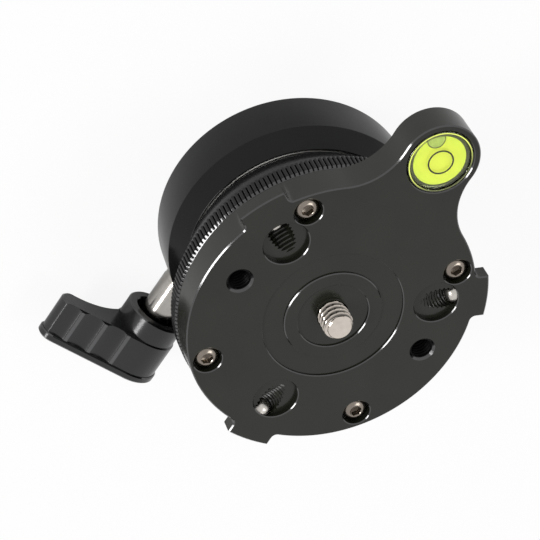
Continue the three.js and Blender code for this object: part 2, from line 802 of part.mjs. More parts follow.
function headPlate() {
  const under = plateFloor - overrun;
  const over = plateTop + overrun;
  const dishFloor = plateTop - dishDepth;
  const dish = cylinder(dishRadius, dishFloor, over, wideSteps);
  const boss = cylinder(bossRadius, dishFloor - fitGap, plateTop - bossDrop, wideSteps);
  const bossHole = cylinder(bossBore, dishFloor, over, midSteps);
  const studPocketTop = plateFloor + studHeadHeight + fitGap;
  const cuts = [
    bossHole,
    cylinder(studRadius + fitGap, under, over),
    cylinder(studHeadRadius + fitGap, under, studPocketTop, midSteps),
    movedBy(cylinder(vialRadius + fitGap, plateFloor + vialFloor, over, midSteps), earReach, 0, 0),
  ];
  for (const heading of headings(plateScrewCount, plateScrewHeading)) {
    const pocket = cylinder(plateScrewPocketRadius, plateScrewSeat, over);
    const hole = cylinder(plateScrewRadius + fitGap, under, over);
    cuts.push(onCircle(pocket.add(hole), plateScrewCircle, heading));
  }
  for (const heading of tappedHoleHeadings) {
    cuts.push(onCircle(cylinder(tappedHoleRadius, under, over), tappedHoleCircle, heading));
  }
  for (const heading of tabHeadings) {
    const spotFace = cylinder(spotFaceRadius, plateTop - spotFaceDepth, over, midSteps);
    const hole = cylinder(setScrewRadius + fitGap, -tabReach, setHoleEnd);
    cuts.push(onCircle(spotFace, spotFaceCircle, heading), alongSetScrew(hole, heading));
  }
  let body = plateBlank().subtract(dish).add(boss);
  for (const cut of cuts) body = body.subtract(cut);
  return piece("head_plate", body, blackAnodised);
}

function plateScrew(index, heading) {
  const seat = plateScrewSeat + fitGap;
  const head = plateScrewHeadRadius;
  const crown = plateScrewHeadHeight;
  const [edgeShare, shoulderShare, flatShare] = buttonHeadShares;
  const profile = [
    [0, plateScrewTip],
    [plateScrewRadius, plateScrewTip],
    [plateScrewRadius, seat],
    [head, seat],
    [head, seat + crown * edgeShare],
    [head * shoulderShare, seat + crown * shoulderShare],
    [head * flatShare, seat + crown],
    [0, seat + crown],
  ];
  const socket = hexagon(plateScrewSocket, seat + crown - plateScrewSocketDepth, seat + crown + overrun);
  const screw = turned(profile, smallSteps).subtract(socket);
  return piece(`plate_screw_${index + 1}`, onCircle(screw, plateScrewCircle, heading), brightSteel);
}

const buttonHeadShares = [0.35, 0.84, 0.55];

// Set screw with a blunt point, which stands in the spot face, and a hexagon socket at its outer end
function setScrew(index, heading) {
  const profile = [
    [0, setScrewStart],
    [setScrewRadius, setScrewStart],
    [setScrewRadius, setScrewEnd - setScrewPoint],
    [setScrewRadius - setScrewPoint, setScrewEnd],
    [0, setScrewEnd],
  ];
  const socket = hexagon(setScrewSocket, setScrewStart - overrun, setScrewStart + setScrewSocketDepth);
  const screw = turned(profile, smallSteps).subtract(socket);
  return piece(`set_screw_${index + 1}`, alongSetScrew(screw, heading), brightSteel);
}

function cameraStud() {
  const tip = plateTop + studReach;
  const headTop = plateFloor + studHeadHeight;
  const profile = [
    [0, plateFloor],
    [studHeadRadius, plateFloor],
    [studHeadRadius, headTop],
    [studRadius, headTop],
    [studRadius, tip - studChamfer],
    [studRadius - studChamfer, tip],
    [0, tip],
  ];
  return piece("camera_stud", turned(profile, midSteps), brightSteel);
}

// Bubble level: a clear cup, the coloured fluid with its bubble, and a crowned lens
function bubbleLevel() {
  const bottom = plateFloor + vialFloor + fitGap;
  const top = plateTop - vialSunk;
  const lensBottom = top - vialLensThickness;
  const bore = vialRadius - vialWall;
  const lensBore = vialLensRadius + fitGap;
  const cup = turned(
    [
      [0, bottom],
      [vialRadius, bottom],
      [vialRadius, top],
      [lensBore, top],
      [lensBore, lensBottom],
      [bore, lensBottom],
      [bore, bottom + vialBase],
      [0, bottom + vialBase],
    ],
    midSteps,
  );
  const fluid = cylinder(bore - fitGap, bottom + vialBase + fitGap, lensBottom - fitGap, midSteps);
  const bubbleShape = new THREE.SphereGeometry(bubbleRadius, smallSteps, smallSteps / 2);
  const bubble = solid(bubbleShape.scale(1, 1, bubbleDepth / bubbleRadius));
  const dent = onCircle(bubble, bubbleOffset, bubbleHeading, lensBottom - fitGap);
  const lens = turned(
    [
      [0, lensBottom + fitGap],
      [vialLensRadius, lensBottom + fitGap],
      [vialLensRadius, top - vialLensRise],
      [vialLensRadius - vialLensRise, top - vialLensRise / 2],
      [vialLensRadius / 2, top],
      [0, top],
    ],
    midSteps,
  );
  return [
    piece("level_cup", movedBy(cup, earReach, 0, 0), clearPlastic),
    piece("level_fluid", movedBy(fluid.subtract(dent), earReach, 0, 0), greenFluid),
    piece("level_lens", movedBy(lens, earReach, 0, 0), clearPlastic),
  ];
}

// The head leans about a level axis through the ball's centre, and is turned about its own axis
function headGroup() {
  const heading = radians(leanHeading + 90);
  const leanAxis = new THREE.Vector3(Math.cos(heading), Math.sin(heading), 0);
  const lean = new THREE.Quaternion().setFromAxisAngle(leanAxis, radians(leanAngle));
  const pan = new THREE.Quaternion().setFromAxisAngle(zAxis, radians(earHeading));
  const group = new THREE.Group();
  group.position.set(0, 0, pivotHeight);
  group.quaternion.copy(lean.multiply(pan));
  group.add(halfBall(), ballLiner(), knurledRing(), headPlate(), cameraStud(), ...bubbleLevel());
  headings(plateScrewCount, plateScrewHeading).forEach((place, i) => group.add(plateScrew(i, place)));
  tabHeadings.forEach((place, i) => group.add(setScrew(i, place)));
  return group;
}

function baseGroup() {
  const group = new THREE.Group();
  group.add(bowlBody(), basePlate(), ...baseScrews(), centrePost(), holdDownCap());
  group.add(discSpring(0), discSpring(1), holdDownNut(), seatLiner());
  group.add(clampShoe(), clampShaft(), shaftSpline());
  group.add(clampLever(), leverScrew(), leverSpring());
  return group;
}

const levelingBase = new THREE.Group();
levelingBase.add(baseGroup(), headGroup());

export default levelingBase;
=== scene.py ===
import math

import bmesh
import bpy
from mathutils import Matrix, Vector


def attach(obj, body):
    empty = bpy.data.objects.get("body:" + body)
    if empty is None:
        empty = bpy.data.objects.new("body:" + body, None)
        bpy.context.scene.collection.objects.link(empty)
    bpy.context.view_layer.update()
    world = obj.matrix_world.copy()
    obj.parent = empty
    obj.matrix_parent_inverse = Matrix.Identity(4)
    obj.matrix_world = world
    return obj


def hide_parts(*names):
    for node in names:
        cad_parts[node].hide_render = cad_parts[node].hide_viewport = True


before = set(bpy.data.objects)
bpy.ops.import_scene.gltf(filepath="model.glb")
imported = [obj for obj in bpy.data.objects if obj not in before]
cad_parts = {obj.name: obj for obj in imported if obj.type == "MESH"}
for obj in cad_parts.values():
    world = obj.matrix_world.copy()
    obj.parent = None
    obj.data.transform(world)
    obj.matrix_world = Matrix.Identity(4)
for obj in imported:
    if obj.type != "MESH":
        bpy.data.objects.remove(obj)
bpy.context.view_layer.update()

# Bowl. The real one is turned from an aluminium bar, bored to the ball's curve, then blasted and
# black anodised. Its corners are broken with a light cut that keeps a brighter line, and one hole
# runs in from the side for the clamp shaft.
mm = 0.001
ball_centre, bowl_cavity, bowl_mouth = 33.0, 29.7, 15.7
mouth_angle = math.degrees(math.acos((ball_centre - bowl_mouth) / bowl_cavity))
shaft_side, shaft_height, shaft_bore = -15.6, 7.6, 3.52
at_rest = Matrix.Identity(4)
along_shaft = Matrix.Translation((0, shaft_side * mm, shaft_height * mm)) @ Matrix(
    ((0, 0, 1, 0), (1, 0, 0, 0), (0, 1, 0, 0), (0, 0, 0, 1))
)


def ball_arc(radius, start, end, steps, centre=ball_centre):
    """Points of the ball's curve, by the angle from straight down."""
    angles = [math.radians(start + (end - start) * i / steps) for i in range(steps + 1)]
    return [(radius * math.sin(a), centre - radius * math.cos(a)) for a in angles]


def band(inner, outer, low, high):
    """Outline of a plain ring, or of a rod where the inner radius is zero."""
    return [(inner, low), (outer, low), (outer, high), (inner, high)]


def eased(outline, size, steps=3):
    """The outline with each true corner rounded over that length."""
    made = []
    for i, corner in enumerate(outline):
        here = Vector(corner)
        before = Vector(outline[i - 1]) - here
        after = Vector(outline[(i + 1) % len(outline)]) - here
        short = min(before.length, after.length) < 2.2 * size
        if corner[0] == 0 or short or before.angle(-after) < 0.3:
            made.append(tuple(here))
            continue
        start, end = here + before.normalized() * size, here + after.normalized() * size
        for k in range(steps + 1):
            t = k / steps
            made.append(tuple(start * (1 - t) ** 2 + here * 2 * t * (1 - t) + end * t**2))
    return made


def shaded(mesh, angle=28):
    """Round faces read as round, and corners sharper than the angle stay crisp."""
    mesh.polygons.foreach_set("use_smooth", [True] * len(mesh.polygons))
    mesh.set_sharp_from_angle(angle=math.radians(angle))


def piece_from(name, points, faces, place=at_rest):
    """A piece from points in millimetres and its faces, set in place."""
    mesh = bpy.data.meshes.new(name)
    mesh.from_pydata([tuple(c * mm for c in p) for p in points], [], faces)
    tidy = bmesh.new()
    tidy.from_mesh(mesh)
    bmesh.ops.remove_doubles(tidy, verts=tidy.verts, dist=0.0004 * mm)
    bmesh.ops.recalc_face_normals(tidy, faces=tidy.faces)
    tidy.to_mesh(mesh)
    tidy.free()
    shaded(mesh)
    made = bpy.data.objects.new(name, mesh)
    made.matrix_world = place
    bpy.context.scene.collection.objects.link(made)
    return made


def turned(name, outline, place=at_rest, steps=192):
    """A piece turned about its own Z, from (radius, height) points that close on themselves."""
    rings, points, faces = [], [], []
    for radius, height in outline:
        count = 1 if radius <= 0 else steps
        rings.append(range(len(points), len(points) + count))
        for k in range(count):
            a = 2 * math.pi * k / steps
            points.append((radius * math.cos(a), radius * math.sin(a), height))
    for lower, upper in zip(rings, rings[1:] + rings[:1]):
        for k in range(steps):
            corners = [lower[k % len(lower)], lower[(k + 1) % len(lower)]]
            corners += [upper[(k + 1) % len(upper)], upper[k % len(upper)]]
            corners = list(dict.fromkeys(corners))
            if len(corners) > 2:
                faces.append(corners)
    return piece_from(name, points, faces, place)


def machined(piece, tools, work="DIFFERENCE"):
    """The piece cut by, or joined with, the tools, which are used up."""
    for tool in tools:
        step = piece.modifiers.new("machining", "BOOLEAN")
        step.operation, step.object, step.solver = work, tool, "EXACT"
    bpy.context.view_layer.update()
    worked = piece.evaluated_get(bpy.context.evaluated_depsgraph_get())
    result = bpy.data.meshes.new_from_object(worked)
    piece.modifiers.clear()
    piece.data = result
    result.name = piece.name
    for tool in tools:
        bpy.data.objects.remove(tool)
    shaded(result)
    return piece


class Wire:
    """One output in a material's nodes. Sums on it add Math nodes."""

    def __init__(self, tree, socket):
        self.tree, self.socket = tree, socket

    def add(self, kind, settings, sockets, out=0):
        node = self.tree.nodes.new(kind)
        for key, value in settings.items():
            setattr(node, key, value)
        for key, value in sockets.items():
            if isinstance(value, Wire):
                self.tree.links.new(value.socket, node.inputs[key])
            else:
                node.inputs[key].default_value = value
        return Wire(self.tree, node.outputs[out]) if node.outputs else None

    def maths(self, operation, *values):
        return self.add("ShaderNodeMath", {"operation": operation}, dict(enumerate(values)))

    def __add__(self, other):
        return self.maths("ADD", self, other)

    def __radd__(self, other):
        return self.maths("ADD", other, self)

    def __sub__(self, other):
        return self.maths("SUBTRACT", self, other)

    def __rsub__(self, other):
        return self.maths("SUBTRACT", other, self)

    def __mul__(self, other):
        return self.maths("MULTIPLY", self, other)

    def __rmul__(self, other):
        return self.maths("MULTIPLY", other, self)

    def __truediv__(self, other):
        return self.maths("DIVIDE", self, other)

    def most(self, other):
        return self.maths("MAXIMUM", self, other)

    def over(self, low, high):
        """How far the value has come from low to high, from 0 to 1."""
        sockets = {0: self, 1: low, 2: high, 3: 0.0, 4: 1.0}
        return self.add("ShaderNodeMapRange", {"clamp": True}, sockets)

    def tint(self, low, high):
        """A colour between two, by this value. The low one may come from nodes."""
        low = low if isinstance(low, Wire) else (*low, 1)
        return self.add("ShaderNodeMix", {"data_type": "RGBA"}, {0: self, 6: low, 7: (*high, 1)}, 2)

    def noise(self, size, detail=2.0, stretch=(1, 1, 1)):
        """Even noise whose patches are that many millimetres wide, from these coordinates."""
        scale = [s / (size * mm) for s in stretch]
        spread = self.add("ShaderNodeVectorMath", {"operation": "MULTIPLY"}, {0: self, 1: scale})
        sockets = {"Vector": spread, "Scale": 1.0, "Detail": detail}
        return self.add("ShaderNodeTexNoise", {}, sockets)

    def lines(self, fine, detail=2.0):
        """Fine lines across this measure, such as a tool leaves."""
        sockets = {"W": self * fine, "Detail": detail}
        return self.add("ShaderNodeTexNoise", {"noise_dimensions": "1D"}, sockets)

    def from_axis(self):
        """Distance from the piece's own Z, in millimetres."""
        to_flat_mm = (1000, 1000, 0)
        flat = self.add("ShaderNodeVectorMath", {"operation": "MULTIPLY"}, {0: self, 1: to_flat_mm})
        return self.add("ShaderNodeVectorMath", {"operation": "LENGTH"}, {0: flat}, 1)

    def axis_part(self, axis):
        """Distance along one axis of the piece, in millimetres."""
        return self.add("ShaderNodeSeparateXYZ", {}, {0: self}, axis) * 1000

    def bump(self, depth, strength):
        """A surface raised by this value times the depth in millimetres."""
        sockets = {"Height": self, "Distance": depth * mm, "Strength": strength}
        return self.add("ShaderNodeBump", {}, sockets)

    def surface(self, sockets):
        """Ends the material with one shader that has these sockets."""
        shader = self.add("ShaderNodeBsdfPrincipled", {}, sockets)
        self.add("ShaderNodeOutputMaterial", {}, {"Surface": shader})


def new_finish(name):
    """An empty material and the coordinates of the piece that wears it."""
    finish = bpy.data.materials.new(name)
    finish.use_nodes = True
    finish.node_tree.nodes.clear()
    start = Wire(finish.node_tree, None)
    return finish, start.add("ShaderNodeTexCoord", {}, {}, "Object")


def anodised(name, tone, roughness, turning=0.0, gloss=1.27, painted_highlight=None):
    """Black anodised aluminium: a fine blasted grain, faint rings where it was turned, and, where a
    mask is given from the coordinates, a paler tone painted there as a highlight."""
    finish, place = new_finish(name)
    grain = place.noise(0.16, 3.0)
    cloud = place.noise(9.0, 2.0)
    rings = place.from_axis().lines(9)
    deep, faded, bare = ([c * share for c in tone] for share in (0.8, 1.25, 6))
    shade = (cloud * 0.6 + grain * 0.4).over(0.25, 0.75).tint(deep, faded)
    # Painted highlight: a paler tone where the given mask is high.
    if painted_highlight:
        shade = painted_highlight(place).tint(shade, bare)
    uneven = (grain - 0.5) * 0.08 + (rings - 0.5) * turning + (cloud - 0.5) * 0.05
    place.surface(
        {
            "Base Color": shade,
            "Roughness": uneven + roughness,
            "Metallic": 0.0,
            "IOR": gloss,
            "Normal": (grain + rings * turning * 3).bump(0.003, 0.4),
        }
    )
    return finish


def cut_edge(name, tone, roughness):
    """A broken edge: the same black film over smoother metal, so it catches the light."""
    finish, place = new_finish(name)
    wear = place.noise(1.2, 3.0).over(0.3, 0.7)
    place.surface(
        {
            "Base Color": wear.tint(tone, [c * 2 for c in tone]),
            "Roughness": wear * 0.06 + roughness,
            "Metallic": wear * 0.1,
            "IOR": 1.8,
        }
    )
    return finish


black = anodised("black_anodised", (0.006, 0.006, 0.006), 0.17, 0.04)
edge = cut_edge("black_edge", (0.004, 0.004, 0.004), 0.1)


def finished(piece, body, slot, finishes, *nodes, corner=None):
    """The piece's finish, what it rides on and the solids that it stands for. Where a corner is
    given, it picks the finish of each face: the first, or the second on a broken edge."""
    piece.data.materials.clear()
    for one in finishes:
        piece.data.materials.append(one)
    if corner:
        for face in piece.data.polygons:
            face.material_index = int(corner(face))
    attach(piece, body)
    if nodes:
        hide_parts(*nodes)
    return piece


def slanted(face):
    """True for a chamfer: its normal leans between flat and upright."""
    return 0.3 < abs(face.normal.z) < 0.93


liner_low, liner_high = 45.4, 53.1
bowl_skin = [(21.8, 0), (27.15, 0), (27.4, 0.25), (27.4, 11.6), (24.42, 15.62), (24.25, bowl_mouth)]
bowl_outline = eased(bowl_skin, 0.12)
bowl_outline += ball_arc(bowl_cavity, mouth_angle, liner_high, 3)
bowl_outline += ball_arc(31.0, liner_high, liner_low, 8)
bowl_outline += ball_arc(bowl_cavity, liner_low, 28, 18)
bowl_outline += [(13.94, 2.9), (21.8, 2.9)]
bowl = turned("bowl", bowl_outline, steps=256)
shaft_hole = [(0, 10), (shaft_bore, 10), (shaft_bore, 21.9), (3.8, 22.5), (3.8, 30), (0, 30)]
shoe_hole = band(0, 3.9, -8, 15.5)
bowl_tools = [
    turned("shaft_hole", shaft_hole, along_shaft, 64),
    turned("shoe_hole", shoe_hole, along_shaft, 64),
]
base_screw_places = [
    Matrix.Rotation(math.radians(heading), 4, "Z") @ Matrix.Translation((18.5 * mm, 0, 0))
    for heading in (90, 210, 330)
]
for spot in base_screw_places:
    screw_hole = [(0, 1), (1.55, 1), (1.55, 6.5), (0, 6.9)]
    bowl_tools.append(turned("screw_hole", screw_hole, spot, 32))
machined(bowl, bowl_tools)


def bowl_corner(face):
    height, reach = face.center.z / mm, face.center.xy.length / mm
    narrow = height < 0.25 or (height > bowl_mouth - 0.2 and reach > 24.2)
    return narrow and slanted(face)


finished(bowl, "base", "black_anodised", [black, edge], "bowl_body", corner=bowl_corner)

# Base plate and its screws. A turned aluminium disc closes the bowl from below and carries the
# post; three countersunk steel screws hold it, and a ring of grip lines keeps it from slipping.


def steel(name, tone, roughness, rings=0.12, thread=None):
    """Machined steel: bright, with the fine rings that the tool leaves. A thread, given by its
    root, its crest and the height of its end, gets painted shade between the crests."""
    finish, place = new_finish(name)
    radius, height = place.from_axis(), place.axis_part(2)
    marks = (radius.lines(14, 3.0) + height.lines(10, 3.0)) * 0.5
    patches = place.noise(1.6, 2.0)
    bright, dull_and_root_shade = (marks * 0.5 + patches * 0.5).over(0.3, 0.7), 0.82
    # Painted shade: the thread's roots are coloured darker than its crests.
    if thread:
        root, crest, end = thread
        crests_out_of_shade = radius.over(root, crest).most(height.over(end, end + 0.05))
        bright, dull_and_root_shade = crests_out_of_shade * (bright * 0.25 + 0.75), 0.14
    place.surface(
        {
            "Base Color": bright.tint([c * dull_and_root_shade for c in tone], tone),
            "Roughness": (marks - 0.5) * rings + (patches - 0.5) * 0.1 + roughness,
            "Metallic": 1.0,
            "Normal": marks.bump(0.004, 0.35),
        }
    )
    return finish


dark_steel = steel("dark_steel", (0.12, 0.12, 0.125), 0.36)
bright_steel = steel("bright_steel", (0.55, 0.52, 0.485), 0.26)


def grooves(start, end, pitch, depth):
    """Points of shallow V grooves across the foot, from one radius to another."""
    points, radius = [], start
    while radius < end:
        points += [(radius, 0), (radius + pitch * 0.3, depth), (radius + pitch * 0.6, 0)]
        radius += pitch
    return points


plate_outline = [(9.4, 0)] + grooves(11.0, 14.6, 0.9, 0.18) + [(21.5, 0), (21.7, 0.2)]
plate_outline += [(21.7, 2.8), (6.7, 2.8), (6.7, 1.9), (9.4, 1.9)]
base_plate = turned("base_plate_face", plate_outline, steps=128)
sunk_head = [(0, -1), (2.95, -1), (2.95, 0.02), (1.55, 1.5), (1.55, 4), (0, 4)]
machined(base_plate, [turned("sink", sunk_head, spot, 48) for spot in base_screw_places])
finished(base_plate, "base", "black_anodised", [black, edge], "base_plate", corner=slanted)


def hexagon(across, bottom, top, place):
    """A hexagonal bar to cut a socket with, across its flats, with a drilled point at its end."""
    corner = across / math.sqrt(3)
    angles = [math.radians(60 * k + 30) for k in range(6)]
    flat = [(corner * math.cos(a), corner * math.sin(a)) for a in angles]
    points = [(x, y, z) for z in (bottom, top) for x, y in flat]
    deep = bottom + (0.35 if bottom > top else -0.35)
    points.append((0, 0, deep))
    faces = [(k, (k + 1) % 6, (k + 1) % 6 + 6, k + 6) for k in range(6)]
    faces += [((k + 1) % 6, k, 12) for k in range(6)] + [tuple(range(6, 12))]
    return piece_from("socket", points, faces, place)


def threaded(name, rod, place, steps=72):
    """A threaded rod about its own Z: rod holds radius, depth, pitch, bottom and top, the length of
    the point at each end, and how far down the point narrows."""
    radius, depth, pitch, bottom, top, point, narrow = rod
    rows = int((top - bottom) / pitch * 12)
    points, faces = [(0, 0, bottom)], []
    for row in range(rows + 1):
        height = bottom + (top - bottom) * row / rows
        ends = min(height - bottom, top - height)
        limit = radius - narrow * max(0.0, 1 - ends / point) if point else radius
        for k in range(steps):
            turn = (height / pitch - k / steps) % 1
            groove = min(1.0, max(0.0, 1.35 - abs(turn - 0.5) * 3.4))
            reach = min(limit, radius - depth * groove)
            a = 2 * math.pi * k / steps
            points.append((reach * math.cos(a), reach * math.sin(a), height))
    points.append((0, 0, top))
    for row in range(rows):
        for k in range(steps):
            a, b = 1 + row * steps + k, 1 + row * steps + (k + 1) % steps
            faces.append((a, b, b + steps, a + steps))
    last = 1 + rows * steps
    for k in range(steps):
        faces.append((0, 1 + (k + 1) % steps, 1 + k))
        faces.append((last + steps, last + k, last + (k + 1) % steps))
    return piece_from(name, points, faces, place)


for number, spot in enumerate(base_screw_places, 1):
    sunk = [(0, 0.03), (2.5, 0.03), (2.64, 0.12), (1.42, 1.42), (1.42, 6.3), (0, 6.3)]
    screw = turned(f"sunk_screw_{number}", sunk, spot, 48)
    machined(screw, [hexagon(2.0, 1.5, -1, spot)])
    finished(screw, "base", "dark_steel", [dark_steel], f"base_screw_{number}")

# Centre post. A steel turning whose flange is held up by the base plate; its foot is tapped for the
# tripod's 3/8 inch stud and its upper end carries the cap that pulls the ball down.
inch = 25.4
tripod_core, tripod_depth = 3.97, 7.8
tripod_bore = [(0, 9.0), (tripod_core, tripod_depth), (tripod_core, 0.4), (4.5, 0)]
post_flange = [(9.3, 0), (9.3, 1.8), (6.6, 1.8), (6.6, 9.6)]
post_stem = [(3.9, 9.6), (3.9, 24.5), (3.4, 25), (0, 25)]
post = turned("post", eased(tripod_bore + post_flange + post_stem, 0.1), steps=96)
tap = threaded("tap", (4.75, 0.78, inch / 16, 0.35, 7.6, 0.5, 0.7), at_rest)
machined(post, [tap])
finished(post, "base", "bright_steel", [bright_steel], "centre_post")

# Hold-down cap, disc springs and nut. The brass cap bears on the plastic liner inside the ball; two
# dished springs under the nut keep it pressed down with an even drag.


def brass_finish():
    finish, place = new_finish("brass")
    lines = place.from_axis().lines(8)
    stain = place.noise(4.0, 3.0).over(0.35, 0.7)
    place.surface(
        {
            "Base Color": stain.tint((0.62, 0.45, 0.2), (0.45, 0.31, 0.14)),
            "Roughness": lines * 0.14 + 0.2,
            "Metallic": 1.0,
            "Normal": lines.bump(0.004, 0.4),
        }
    )
    return finish


brass = brass_finish()
steel_parts = [(node, dark_steel) for node in ("disc_spring_1", "disc_spring_2", "hold_down_nut")]
for node, metal in steel_parts + [("hold_down_cap", brass), ("clamp_shoe", brass)]:
    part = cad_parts[node]
    part.data.materials.clear()
    part.data.materials.append(metal)

# Liners. Two rings of white bearing plastic, one let into the bowl under the ball and one inside
# the ball under the cap, so that the metal never rubs on metal.


def liner_finish():
    finish, place = new_finish("liner")
    mottle = place.noise(2.0, 3.0)
    scuff = place.noise(0.5, 2.0, (1, 1, 4))
    place.surface(
        {
            "Base Color": mottle.over(0.3, 0.7).tint((0.72, 0.71, 0.67), (0.83, 0.82, 0.78)),
            "Roughness": scuff * 0.2 + 0.4,
            "Normal": scuff.bump(0.01, 0.4),
        }
    )
    return finish


liner_plastic = liner_finish()
seat_outline = ball_arc(29.52, 52.5, 46, 8) + ball_arc(30.7, 46, 52.5, 8)
seat_ring = turned("seat_ring", seat_outline)
finished(seat_ring, "swivel", "white_plastic", [liner_plastic], "seat_liner")

# The head leans a little to one side about the ball's centre. Everything on it is made level, with
# the ear towards its own +X, and set in place with one turn.
lean_heading, lean_angle, ear_heading = 107.9, 3.4, 180.8
lean_axis = Matrix.Rotation(math.radians(lean_heading + 90), 3, "Z") @ Vector((1, 0, 0))
on_head = (
    Matrix.Translation((0, 0, ball_centre * mm))
    @ Matrix.Rotation(math.radians(lean_angle), 4, lean_axis)
    @ Matrix.Rotation(math.radians(ear_heading), 4, "Z")
)
cap_outline = ball_arc(24.9, 34, 62, 10, 0) + ball_arc(23.9, 62, 34, 10, 0)
cap_ring = turned("cap_ring", cap_outline, on_head)
finished(cap_ring, "tilt", "white_plastic", [liner_plastic], "ball_liner")

# Half ball. Turned aluminium, anodised with the rest but with less gloss, where the liner slides
# on it. Its rim is stepped down for the knurled ring and screwed to the plate from above.
ball_black = anodised("ball_anodised", (0.005, 0.005, 0.005), 0.2, 0.04, 1.17)
ball_outline = ball_arc(29.2, 33, 80.1, 40, 0) + [(28.4, -5.02), (28.4, -1.32), (23.0, -1.32)]
ball_outline += ball_arc(25.2, 65.5, 33, 16, 0)
half_ball = turned("ball", ball_outline, on_head, 256)
finished(half_ball, "head", "black_anodised", [ball_black], "half_ball")

# Knurled ring. An aluminium band pressed on the step of the ball's rim, straight-knurled on a
# lathe. Its edges are cut back at 45 degrees, which leaves a bright sawtooth line.
knurl_teeth, knurl_top, knurl_root, knurl_low, knurl_high = 200, 30.28, 29.86, -4.88, -1.32


def knurled(name, levels, inner, place):
    """A band whose rings follow (height, radius cut, share of the knurl) levels."""
    per_tooth = 6
    steps = knurl_teeth * per_tooth
    tooth = (1.0, 1.0, 1.0, 0.8, 0.0, 0.8)
    points, faces = [], []
    for height, cut, share in levels:
        for k in range(steps):
            full = knurl_root + (knurl_top - knurl_root) * tooth[k % per_tooth] * share
            reach = min(full, cut)
            a = 2 * math.pi * k / steps
            points.append((reach * math.cos(a), reach * math.sin(a), height))
    for height in (levels[-1][0], levels[0][0]):
        for k in range(steps):
            a = 2 * math.pi * k / steps
            points.append((inner * math.cos(a), inner * math.sin(a), height))
    rows = len(levels) + 2
    for row in range(rows):
        for k in range(steps):
            a, b = row * steps + k, row * steps + (k + 1) % steps
            up = (row + 1) % rows * steps - row * steps
            faces.append((a, b, b + up, a + up))
    return piece_from(name, points, faces, place)


knurl_levels = [
    (knurl_low - 0.3, knurl_root - 0.1, 1.0),
    (knurl_low - 0.15, knurl_top, 1.0),
    (knurl_high - 0.5, knurl_top, 1.0),
    (knurl_high - 0.08, knurl_root, 1.0),
    (knurl_high, knurl_root - 0.08, 1.0),
]
ring = knurled("grip_ring", knurl_levels, 28.52, on_head)
shaded(ring.data, 18)


def ring_corner(face):
    return slanted(face) and face.center.z / mm > knurl_high - 0.5


finished(ring, "head", "black_anodised", [black, edge], "knurled_ring", corner=ring_corner)

# Head plate. Milled from flat bar: a round face with three tabs, and an ear that carries the bubble
# level. Blasted and black anodised after all its holes were cut, with a light chamfer on each edge.
plate_top, plate_low, plate_round, plate_chamfer = 6.0, -1.2, 30.0, 0.25
tab_round, tab_half, tab_fillet, tab_low, tab_headings = 32.7, 4.83, 1.2, 2.4, (60, 180, 300)
ear_reach, ear_round, ear_fillet = 38.4, 8.2, 12.5


def arc(centre, radius, start, end, step=2.0):
    """Points of an arc in the flat; angles in degrees, either way round."""
    count = max(2, int(abs(end - start) / step))
    angles = [math.radians(start + (end - start) * i / count) for i in range(count + 1)]
    return [(centre[0] + radius * math.cos(a), centre[1] + radius * math.sin(a)) for a in angles]


def polar(radius, heading):
    return radius * math.cos(math.radians(heading)), radius * math.sin(math.radians(heading))


def rim_outline():
    """The plate from above: ear, hollows beside it, and tabs whose roots are rounded."""
    reach, span = plate_round + ear_fillet, ear_round + ear_fillet
    leave = math.degrees(math.acos((reach**2 + ear_reach**2 - span**2) / (2 * reach * ear_reach)))
    hollow = polar(reach, leave)
    swing = math.degrees(math.atan2(hollow[1], hollow[0] - ear_reach))
    points = arc((ear_reach, 0), ear_round, -swing, swing, 3)
    points += arc(hollow, ear_fillet, swing - 180, leave - 180, 3)
    root_reach = plate_round + tab_fillet
    root = math.degrees(math.asin((tab_half + tab_fillet) / root_reach))
    corner = math.degrees(math.asin(tab_half / tab_round))
    start = leave
    for heading in tab_headings:
        near, far = heading - root, heading + root
        points += arc((0, 0), plate_round, start, near)
        points += arc(polar(root_reach, near), tab_fillet, near + 180, heading + 90, 12)
        points += arc((0, 0), tab_round, heading - corner, heading + corner)
        points += arc(polar(root_reach, far), tab_fillet, heading - 90, far - 180, 12)
        start = far
    points += arc((0, 0), plate_round, start, 360 - leave)
    points += arc((hollow[0], -hollow[1]), ear_fillet, 180 - leave, 180 - swing, 3)
    return points


def apart(points, least=0.02):
    """The closed outline without points that fall on the one before."""
    return [p for i, p in enumerate(points) if (Vector(p) - Vector(points[i - 1])).length > least]


def inset(points, size):
    """The closed outline moved inwards by that length."""
    made = []
    for i, point in enumerate(points):
        here = Vector(point)
        before, after = here - Vector(points[i - 1]), Vector(points[(i + 1) % len(points)]) - here
        left, right = Vector((-before.y, before.x)), Vector((-after.y, after.x))
        normal = left.normalized() + right.normalized()
        share = max(0.5, normal.length_squared / 2)
        made.append(tuple(here + normal / share * size))
    return made


def stacked(name, rows, place):
    """A piece from (outline, height) rows of equal length, closed at both ends."""
    count = len(rows[0][0])
    points = [(x, y, z) for row, z in rows for x, y in row]
    last = count * (len(rows) - 1)
    faces = [tuple(reversed(range(count))), tuple(range(last, last + count))]
    for row in range(len(rows) - 1):
        for k in range(count):
            a, b = row * count + k, row * count + (k + 1) % count
            faces.append((a, b, b + count, a + count))
    return piece_from(name, points, faces, place)


def slab(name, outline, bottom, top, chamfer, place):
    """A flat piece of that outline, with both its edges chamfered, each by zero or more."""
    low, high = chamfer
    rows = [(inset(outline, low), bottom)] if low else []
    rows += [(outline, bottom + low), (outline, top - high)]
    rows += [(inset(outline, high), top)] if high else []
    return stacked(name, rows, place)


